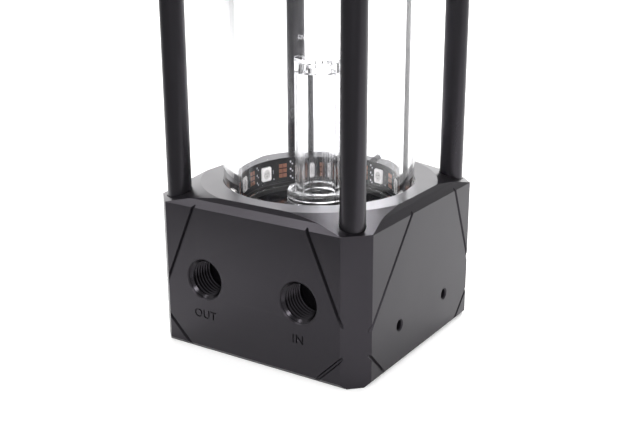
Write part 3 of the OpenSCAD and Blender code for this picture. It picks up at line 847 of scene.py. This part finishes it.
def letters(text, centre_x, foot_z, height, depth):
    """Solid letters that stand across the front face."""
    curve = bpy.data.curves.new("Letters", "FONT")
    curve.body = text
    curve.align_x = "CENTER"
    curve.size = 1.0
    curve.space_character = 1.08
    curve.extrude = 0.5
    curve.offset = 0.012
    curve.resolution_u = 6
    text_object = link("Letters", curve)
    bpy.context.view_layer.update()
    graph = bpy.context.evaluated_depsgraph_get()
    mesh = bpy.data.meshes.new_from_object(text_object.evaluated_get(graph))
    bpy.data.objects.remove(text_object)
    low = Vector(min(v.co[i] for v in mesh.vertices) for i in range(3))
    high = Vector(max(v.co[i] for v in mesh.vertices) for i in range(3))
    scale = height / (high.y - low.y)
    for v in mesh.vertices:
        x = (v.co.x - (low.x + high.x) / 2) * scale + centre_x
        z = (v.co.y - low.y) * scale + foot_z
        y = -HALF + depth * (1 if v.co.z < 0 else -1)
        v.co = (x, y, z)
    bm = bmesh.new()
    bm.from_mesh(mesh)
    bmesh.ops.remove_doubles(bm, verts=bm.verts[:], dist=MERGE / 10)
    bmesh.ops.recalc_face_normals(bm, faces=bm.faces[:])
    bm.to_mesh(mesh)
    bm.free()
    return link("Letters", mesh)


def port_thread(name, port, settings):
    """Conical lip at a port's mouth and the thread ridge behind it."""
    start = 0.9 * MM
    inset = 0.4 * MM
    lip_flare = 0.26 * MM
    lip_crest = 0.16 * MM
    lip_end = 0.5 * MM
    root_r = PORT_R - 0.01 * MM
    crest_r = PORT_R - settings.thread_depth
    bm = bmesh.new()
    lathe(bm, [(PORT_R + lip_flare, -start), (crest_r, lip_crest), (root_r, lip_end)], 96)
    helix(bm, root_r, crest_r, settings.thread_pitch, PORT_LEN - 2 * start)
    turn = Matrix.Rotation(math.radians(-90), 4, "X")
    mouth = Vector((port.x, -HALF + start + inset, port.z))
    bmesh.ops.transform(bm, matrix=Matrix.Translation(mouth) @ turn, verts=bm.verts[:])
    # The thread's finish is painted shade: a darker copy of the block's acetal.
    return from_bmesh(name, bm, finish("thread"), 50)


def paint_recess_shade(obj, settings):
    """Painted shade, the second finish, for the ports' bores and the floors of the engraved marks.
    """
    margin = 0.1 * MM
    mark_low = settings.letter_z - margin
    mark_high = settings.letter_z + settings.letter_height + margin
    mark_reach = 2 * settings.letter_height
    mark_from = 0.03 * MM
    mark_to = 1 * MM
    bore_r = PORT_R + 0.02 * MM
    bore_from = 0.6 * MM
    bore_to = PORT_LEN + 2 * MM
    for face in obj.data.polygons:
        at = face.center
        depth = at.y + HALF
        for port in PORTS:
            from_axis = math.hypot(at.x - port.x, at.z - port.z)
            in_bore = bore_from < depth < bore_to and from_axis < bore_r
            beside = abs(at.x - port.x) < mark_reach and mark_low < at.z < mark_high
            if in_bore or (beside and mark_from < depth < mark_to):
                face.material_index = 1


class RESERVOIR_OT_blocks(bpy.types.Operator):
    """Build both blocks with broken edges, engraved marks and port threads"""

    bl_idname = "reservoir.blocks"
    bl_label = "Blocks"

    def execute(self, context):
        s = context.scene.reservoir.blocks
        base = cad_copy("base_shell", "base_block")
        break_edges(base, s.edge)
        for text, port in zip((s.out_text, s.in_text), PORTS):
            carve(base, letters(text, port.x, s.letter_z, s.letter_height, s.letter_depth))
        top = cad_copy("top_shell", "top_block")
        break_edges(top, s.edge)
        for obj, node in ((base, "base_block"), (top, "top_block")):
            finish_faces(obj, "block", "recess")
            smooth(obj.data, 9)
            place(obj, ROOT, node)
        # Painted shade: the ports' bores and the engraved marks' floors get the darker second
        # finish.
        paint_recess_shade(base, s)
        for name, port in zip(("thread_out", "thread_in"), PORTS):
            place(port_thread(name, port, s), ROOT)
        return {"FINISHED"}


# ----------------------------------------------------------------------------
# Tank and riser
# ----------------------------------------------------------------------------


def tube_profile(r_out, r_in, z_low, z_high, edge):
    """Section of a tube with ground edges."""
    return [
        (r_in + edge, z_low),
        (r_out - edge, z_low),
        (r_out, z_low + edge),
        (r_out, z_high - edge),
        (r_out - edge, z_high),
        (r_in + edge, z_high),
        (r_in, z_high - edge),
        (r_in, z_low + edge),
    ]


class RESERVOIR_OT_tank(bpy.types.Operator):
    """Build the glass tube and finish its gaskets"""

    bl_idname = "reservoir.tank"
    bl_label = "Tank"

    def execute(self, context):
        s = context.scene.reservoir.tank
        bm = bmesh.new()
        lathe(bm, tube_profile(TUBE_R, TUBE_R - s.wall, *TUBE_Z, s.edge), 256)
        tube = from_bmesh("tank_tube", bm, finish("glass"), 30)
        place(tube, ROOT, "glass_tube")
        for node in ("tube_gasket_lower", "tube_gasket_upper"):
            dress(node, "rubber")
        return {"FINISHED"}


class RESERVOIR_OT_riser(bpy.types.Operator):
    """Build the clear riser and finish the floor and seals under it"""

    bl_idname = "reservoir.riser"
    bl_label = "Riser"

    def execute(self, context):
        s = context.scene.reservoir.tank
        flange_top = node_span("riser_seals", 2)[1] + s.flange
        riser = cad_copy("riser_clear", "riser_tube")
        refine_rounds(riser, 4)
        finish_faces(riser, "acrylic", "turned")
        for face in riser.data.polygons:
            face.material_index = int(face.center.z < flange_top)
        smooth(riser.data, 28)
        place(riser, ROOT, "riser_tube")
        dress("riser_seals", "rubber")
        dress("insert_seal", "rubber")
        dress("floor_insert", "insert")
        return {"FINISHED"}


# ----------------------------------------------------------------------------
# Light ring
# ----------------------------------------------------------------------------


def light_body(window_r):
    """One light: a chamfered body with a round, sunk window."""
    face_gap = 0.32 * MM
    strip_t = 0.36 * MM
    face_x = TUBE_R + face_gap
    back_x = STRIP_R - strip_t
    half = (LIGHT_Z[1] - LIGHT_Z[0]) / 2
    mid_z = sum(LIGHT_Z) / 2
    edge = 0.25 * MM
    slope = 0.1 * MM
    sink = 0.22 * MM
    steps = 32
    bm = bmesh.new()
    rings = []
    for x, size, rounded in (
        (back_x, half, False),
        (face_x + edge, half, False),
        (face_x, half - edge, False),
        (face_x, window_r, True),
        (face_x + sink, window_r - slope, True),
    ):
        ring = []
        for k in range(steps):
            a = TURN * (k + 0.5) / steps
            reach = size if rounded else size / max(abs(math.cos(a)), abs(math.sin(a)))
            ring.append(bm.verts.new((x, reach * math.cos(a), mid_z + reach * math.sin(a))))
        rings.append(ring)
    skin(bm, rings)
    return bm, face_x + sink, mid_z


def light_window(x, z, radius):
    """Short round window whose face looks to the axis."""
    depth = 0.08 * MM
    steps = 28
    bm = bmesh.new()
    rings = []
    for face_x in (x - depth, x):
        ring = []
        for k in range(steps):
            a = TURN * k / steps
            ring.append(bm.verts.new((face_x, radius * math.cos(a), z + radius * math.sin(a))))
        rings.append(ring)
    skin(bm, rings)
    return bm


def light_dies(x, z):
    """Three small dies that stand in a light's window."""
    half = 0.22 * MM
    front = x - 0.14 * MM
    back = x - 0.06 * MM
    bm = bmesh.new()
    for across, up in ((-0.55, 0.5), (0.6, 0.35), (0.0, -0.65)):
        y = across * MM
        height = z + up * MM
        block(bm, (front, y - half, height - half), (back, y + half, height + half))
    return bm


def on_strip(bm, angle, z, width, height):
    """Thin plate on the strip's inner face, at an angle from the light."""
    plate_t = 0.03 * MM
    strip_t = 0.25 * MM
    r = STRIP_R - strip_t
    verts = block(bm, (r - plate_t, -width / 2, z - height / 2), (r, width / 2, z + height / 2))
    bmesh.ops.rotate(bm, verts=verts, cent=(0, 0, 0), matrix=Matrix.Rotation(angle, 3, "Z"))


def strip_pads(pitch, mid_z):
    """Three pairs of copper pads halfway between two lights."""
    width = 1.7 * MM
    height = 1.45 * MM
    row_step = 1.8 * MM
    column = 0.95 * MM / STRIP_R
    bm = bmesh.new()
    for row in (-1, 0, 1):
        for side in (-1, 1):
            on_strip(bm, -0.5 * pitch + side * column, mid_z + row * row_step, width, height)
    return bm


def strip_marks(pitch, mid_z):
    """Small printed marks beside a light."""
    row_step = 2.7
    # Share of the way to the next light, then place, width and height in millimetres.
    marks = [(0.235, 0.0, 0.22, 1.5), (0.25, -2.6, 0.5, 0.5)]
    for row in (-1, 0, 1):
        marks.append((0.70, row * row_step + 0.3, 0.6, 0.7))
        marks.append((0.745, row * row_step - 0.5, 0.5, 0.5))
    bm = bmesh.new()
    for share, up, width, height in marks:
        on_strip(bm, -share * pitch, mid_z + up * MM, width * MM, height * MM)
    return bm


class RESERVOIR_OT_light_ring(bpy.types.Operator):
    """Build the lights with the pads and marks between them"""

    bl_idname = "reservoir.light_ring"
    bl_label = "Light ring"

    def execute(self, context):
        s = context.scene.reservoir.light_ring
        pitch = TURN / s.count
        mid_z = sum(STRIP_Z) / 2
        rim = 0.12 * MM
        body, floor_x, light_z = light_body(s.window)
        window = light_window(floor_x, light_z, s.window - rim)
        pieces = (
            ("light_bodies", body, "light", "light_body", "led_lights"),
            ("light_windows", window, "window", "light_body", None),
            ("light_dies", light_dies(floor_x, light_z), "die", "light_body", None),
            ("strip_pads", strip_pads(pitch, mid_z), "pad", "strip_film", None),
            ("strip_marks", strip_marks(pitch, mid_z), "mark", "strip_film", None),
        )
        for name, bm, material, slot, node in pieces:
            obj = from_bmesh(name, bm, finish(material), 30)
            repeat(obj, s.count, finish(material), s.first)
            place(obj, ROOT, node)
        dress("led_strip", "strip")
        dress("led_lead_grommet", "grey_rubber")
        return {"FINISHED"}


# ----------------------------------------------------------------------------
# Rods and screws
# ----------------------------------------------------------------------------


def cap_screw(head_r, head_h, shank_r, length, key_r):
    """Socket cap screw below z = 0, with a broken head edge and a hexagonal key socket."""
    edge = 0.35 * MM
    rim = 0.25 * MM
    rim_depth = 0.2 * MM
    depth = 2.1 * MM
    cone = 0.4 * MM
    side = TURN / 6
    profile = [
        (0, -head_h - length),
        (shank_r - edge, -head_h - length),
        (shank_r, -head_h - length + edge),
        (shank_r, -head_h),
        (head_r, -head_h),
        (head_r, -edge),
        (head_r - edge, 0),
        (key_r + rim, 0),
        (key_r, -rim_depth),
        (key_r, -depth),
        (0, -depth - cone),
    ]
    bm = bmesh.new()
    lathe(bm, profile, 48, closed=False)
    for v in bm.verts:
        r = math.hypot(v.co.x, v.co.y)
        if 0 < r <= key_r + MERGE and v.co.z > -depth - cone / 4:
            a = math.atan2(v.co.y, v.co.x) % side - side / 2
            v.co.x *= math.cos(side / 2) / math.cos(a)
            v.co.y *= math.cos(side / 2) / math.cos(a)
    return bm


class RESERVOIR_OT_rods(bpy.types.Operator):
    """Finish the rods and build their screws"""

    bl_idname = "reservoir.rods"
    bl_label = "Rods and screws"

    def execute(self, context):
        head_h = 4 * MM
        shank_r = 2 * MM
        key_r = 1.6 * MM
        for node in ("rod_front_left", "rod_front_right", "rod_rear_left", "rod_rear_right"):
            dress(node, "rod")
        low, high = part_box("rod_front_right")
        centre = ((low.x + high.x) / 2, (low.y + high.y) / 2)
        for node, name, down in (
            ("rod_screws_lower", "base_screws", True),
            ("rod_screws_upper", "roof_screws", False),
        ):
            z_low, z_high = node_span(node, 2)
            head_r = node_span(node, 0)[1] - centre[0]
            bm = cap_screw(head_r, head_h, shank_r, z_high - z_low - head_h, key_r)
            if down:
                over = Matrix.Rotation(math.pi, 3, "X")
                bmesh.ops.rotate(bm, verts=bm.verts[:], cent=(0, 0, 0), matrix=over)
            top_z = z_low if down else z_high
            bmesh.ops.translate(bm, verts=bm.verts[:], vec=(*centre, top_z))
            obj = from_bmesh(name, bm, finish("dark_steel"), 35)
            repeat(obj, 4, finish("dark_steel"))
            place(obj, ROOT, node)
        return {"FINISHED"}


# ----------------------------------------------------------------------------
# Fill plug
# ----------------------------------------------------------------------------


def grip_notches(edge_r, top_z):
    """Ring of round bars that cut the grip into the plug's head."""
    bar_r = 0.8 * MM
    bar_out = 0.35 * MM
    bm = bmesh.new()
    bmesh.ops.create_cone(
        bm,
        cap_ends=True,
        segments=16,
        radius1=bar_r,
        radius2=bar_r,
        depth=8 * MM,
        matrix=Matrix.Translation((edge_r + bar_out, 0, top_z)),
    )
    bars = from_bmesh("notches", bm)
    repeat(bars, 24, finish("plug"))
    return bars


def plug_thread(low_z, seat_z, settings):
    """Thread ridge on the plug's shank."""
    lead_in = 0.9 * MM
    free = 2.2 * MM
    root_r = PORT_R - 0.85 * MM
    crest_r = PORT_R - 0.02 * MM
    bm = bmesh.new()
    helix(bm, root_r, crest_r, settings.thread_pitch, seat_z - low_z - free)
    bmesh.ops.translate(bm, verts=bm.verts[:], vec=(0, 0, low_z + lead_in))
    return from_bmesh("plug_thread", bm, finish("plug"), 50)


class RESERVOIR_OT_fill_plug(bpy.types.Operator):
    """Build the fill plug with its grip notches, key socket and thread"""

    bl_idname = "reservoir.fill_plug"
    bl_label = "Fill plug"

    def execute(self, context):
        s = context.scene.reservoir.blocks
        low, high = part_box("fill_plug")
        seat_z = node_span("top_block", 2)[1]
        plug = cad_copy("plug_body", "fill_plug")
        carve(plug, grip_notches(high.x, high.z))
        finish_faces(plug, "plug")
        smooth(plug.data, 30)
        place(plug, "plug", "fill_plug")
        place(plug_thread(low.z, seat_z, s), "plug")
        dress("fill_plug_seal", "rubber")
        return {"FINISHED"}


# ----------------------------------------------------------------------------
# Pump and motor, inside the base block
# ----------------------------------------------------------------------------

INNER_FINISHES = {
    "volute_housing": "pump",
    "rotor_can": "pump",
    "can_seal": "rubber",
    "pump_shaft": "ceramic",
    "thrust_washer": "ceramic",
    "motor_frame": "pump",
    "stator_core": "laminations",
    "stator_coils": "copper",
    "circuit_board": "board",
    "board_parts": "chip",
    "thermal_pad": "thermal",
    "bottom_plate": "plate",
    "plate_screws": "bright_steel",
    "pump_lead_grommet": "rubber",
    "impeller": "impeller",
    "rotor_magnet": "magnet",
    "bearing_bush": "carbon",
}


class RESERVOIR_OT_pump(bpy.types.Operator):
    """Finish the pump, the motor and the plate that closes them"""

    bl_idname = "reservoir.pump"
    bl_label = "Pump"

    def execute(self, context):
        for node, name in INNER_FINISHES.items():
            dress(node, name)
        return {"FINISHED"}


# ----------------------------------------------------------------------------
# Stage
# ----------------------------------------------------------------------------


class WorldNodes(NodeMaths):
    """Small builder for the backdrop's brightness by direction."""

    def __init__(self, world):
        self.nodes = world.node_tree.nodes
        self.links = world.node_tree.links
        self.nodes.clear()
        coords = self.nodes.new("ShaderNodeTexCoord")
        split = self.nodes.new("ShaderNodeSeparateXYZ")
        self.links.new(coords.outputs["Generated"], split.inputs[0])
        self.axis = split.outputs

    def background(self, strength):
        """Background shader of a given strength."""
        node = self.nodes.new("ShaderNodeBackground")
        node.inputs["Color"].default_value = (1, 1, 1, 1)
        if isinstance(strength, (int, float)):
            node.inputs["Strength"].default_value = strength
        else:
            self.links.new(strength, node.inputs["Strength"])
        return node.outputs[0]


def looked_through(builder, path):
    """1 where a ray came straight through clear pieces, without a bounce."""
    bounces = builder.math("ADD", path["Glossy Depth"], path["Diffuse Depth"])
    straight = builder.math("LESS_THAN", bounces, 0.5)
    return builder.math("MULTIPLY", path["Is Transmission Ray"], straight)


def studio_world():
    """White backdrop: plain where it is looked at, uneven where it is reflected."""
    below_horizon = 0.2
    above_horizon = 0.6
    ceiling_loss = -0.28
    sheet_strength = 2.0
    world = bpy.data.worlds.new("Studio")
    world.use_nodes = True
    w = WorldNodes(world)
    x, y, z = w.axis
    room = w.step(z, -0.05, 0.0, below_horizon, above_horizon)
    ceiling = w.step(z, 0.5, 0.8, 0.0, ceiling_loss)
    # A bright sheet stands behind the part, to its left and below eye height.
    left = w.step(x, 0.1, -0.3)
    back = w.step(y, 0.2, 0.5)
    low = w.step(z, 0.62, 0.42)
    height = w.math("MULTIPLY", low, sheet_strength)
    sheet = w.math("MULTIPLY", w.math("MULTIPLY", left, back), height)
    above = w.math("MULTIPLY", sheet, w.step(z, -0.05, 0.0))
    soft = w.background(w.math("ADD", w.math("ADD", room, ceiling), above))
    path = w.nodes.new("ShaderNodeLightPath").outputs
    mix = w.nodes.new("ShaderNodeMixShader")
    output = w.nodes.new("ShaderNodeOutputWorld")
    seen = w.math("MAXIMUM", path["Is Camera Ray"], looked_through(w, path))
    w.links.new(seen, mix.inputs["Fac"])
    w.links.new(soft, mix.inputs[1])
    w.links.new(w.background(1.0), mix.inputs[2])
    w.links.new(mix.outputs[0], output.inputs["Surface"])
    return world


def floor_material(front):
    """White table, a little lighter where it is seen; reflections fade beyond its front."""
    white = 0.8
    glow = 0.35
    fade = 0.02
    far_share = 0.25
    s = Shader("floor_white", (white, white, white), 0.6, Specular_IOR_Level=0.0)
    s.vary_roughness(s.noise(20, 2), 0.55, 0.65)
    path = s.nodes.new("ShaderNodeLightPath").outputs
    s.bsdf.inputs["Emission Color"].default_value = (1, 1, 1, 1)
    seen = s.math("MAXIMUM", path["Is Camera Ray"], looked_through(s, path))
    s.links.new(s.math("MULTIPLY", seen, glow), s.bsdf.inputs["Emission Strength"])
    split = s.nodes.new("ShaderNodeSeparateXYZ")
    s.links.new(s.coords.outputs["Object"], split.inputs[0])
    near = s.step(split.outputs["Y"], -front - fade, -front + fade, far_share, 1.0)
    grey = s.math("MULTIPLY", s.math("MAXIMUM", seen, near), white)
    s.links.new(grey, s.bsdf.inputs["Base Color"])
    return s.material


def soft_light(name, size, energy, location, target, in_reflections=True):
    """Square soft light aimed at a point."""
    data = bpy.data.lights.new(name, "AREA")
    data.shape = "SQUARE"
    data.size = size
    data.energy = energy
    obj = link(name, data)
    obj.location = location
    obj.rotation_euler = (Vector(target) - Vector(location)).to_track_quat("-Z", "Y").to_euler()
    obj.visible_camera = False
    obj.visible_glossy = in_reflections


def add_lights():
    """One large light behind the part, and three smaller ones before and above it."""
    floor_behind = (0.3, 0.35, 0.0)
    middle = (0, 0, RIM_Z)
    soft_light("back_light", 0.9, 31.0, (-0.15, 1.15, 0.9), floor_behind, in_reflections=False)
    soft_light("front_fill", 0.6, 13.0, (0.55, -1.0, 0.4), middle, in_reflections=False)
    soft_light("front_glint", 0.3, 2.4, (0.45, -0.85, 0.74), middle)
    soft_light("top_left", 0.36, 2.0, (-0.5, -0.3, 0.9), middle)


def add_floor(front):
    """Wide table just under the part."""
    half = 3.0
    gap = 0.05 * MM
    bm = bmesh.new()
    bmesh.ops.create_grid(bm, x_segments=2, y_segments=2, size=half)
    bmesh.ops.translate(bm, verts=bm.verts[:], vec=(0, 0, CAD_BOX[0][2] - gap))
    from_bmesh("studio_floor", bm, floor_material(front))


def add_camera(s):
    """Camera that stands before the part and looks down at it."""
    camera = bpy.data.cameras.new("Camera")
    camera.lens = s.lens
    camera.sensor_width = 36.0
    camera.clip_start = 0.01
    across = math.sin(s.bearing) * s.distance
    before = -math.cos(s.bearing) * s.distance
    turn = (
        Matrix.Rotation(s.yaw, 4, "Z")
        @ Matrix.Rotation(math.radians(90) - s.pitch, 4, "X")
        @ Matrix.Rotation(s.roll, 4, "Z")
    )
    view = link("Camera", camera)
    view.matrix_world = Matrix.Translation((across, before, s.height)) @ turn
    return view


class RESERVOIR_OT_stage(bpy.types.Operator):
    """Set up the floor, the light and the camera"""

    bl_idname = "reservoir.stage"
    bl_label = "Stage"

    def execute(self, context):
        s = context.scene.reservoir.stage
        scene = context.scene
        scene.view_settings.view_transform = "Standard"
        scene.world = studio_world()
        add_floor(s.table_front)
        add_lights()
        scene.camera = add_camera(s)
        return {"FINISHED"}


# ----------------------------------------------------------------------------
# Add-on
# ----------------------------------------------------------------------------


class ReservoirSettings(bpy.types.PropertyGroup):
    """All settings of the part."""

    blocks: PointerProperty(type=BlockSettings)
    tank: PointerProperty(type=TankSettings)
    light_ring: PointerProperty(type=LightRingSettings)
    stage: PointerProperty(type=StageSettings)


OPERATORS = (
    RESERVOIR_OT_blocks,
    RESERVOIR_OT_tank,
    RESERVOIR_OT_riser,
    RESERVOIR_OT_light_ring,
    RESERVOIR_OT_rods,
    RESERVOIR_OT_fill_plug,
    RESERVOIR_OT_pump,
    RESERVOIR_OT_stage,
)


class RESERVOIR_PT_panel(bpy.types.Panel):
    """Settings and buttons of the reservoir"""

    bl_label = "Reservoir"
    bl_idname = "RESERVOIR_PT_panel"
    bl_space_type = "VIEW_3D"
    bl_region_type = "UI"
    bl_category = "Reservoir"

    def draw(self, context):
        settings = context.scene.reservoir
        for group in (settings.blocks, settings.tank, settings.light_ring, settings.stage):
            box = self.layout.box()
            for name in group.bl_rna.properties.keys():
                if name not in ("rna_type", "name"):
                    box.prop(group, name)
        for operator in OPERATORS:
            self.layout.operator(operator.bl_idname)


CLASSES = (
    BlockSettings,
    TankSettings,
    LightRingSettings,
    StageSettings,
    ReservoirSettings,
    *OPERATORS,
    RESERVOIR_PT_panel,
)


def register():
    """Register the classes and the scene's settings."""
    for cls in CLASSES:
        bpy.utils.register_class(cls)
    bpy.types.Scene.reservoir = PointerProperty(type=ReservoirSettings)


def unregister():
    """Remove the settings and the classes."""
    del bpy.types.Scene.reservoir
    for cls in reversed(CLASSES):
        bpy.utils.unregister_class(cls)


def main():
    """Build everything."""
    register()
    for operator in OPERATORS:
        category, name = operator.bl_idname.split(".")
        result = getattr(getattr(bpy.ops, category), name)()
        if result != {"FINISHED"}:
            raise RuntimeError(operator.bl_label + " did not finish")


if __name__ == "__main__":
    main()
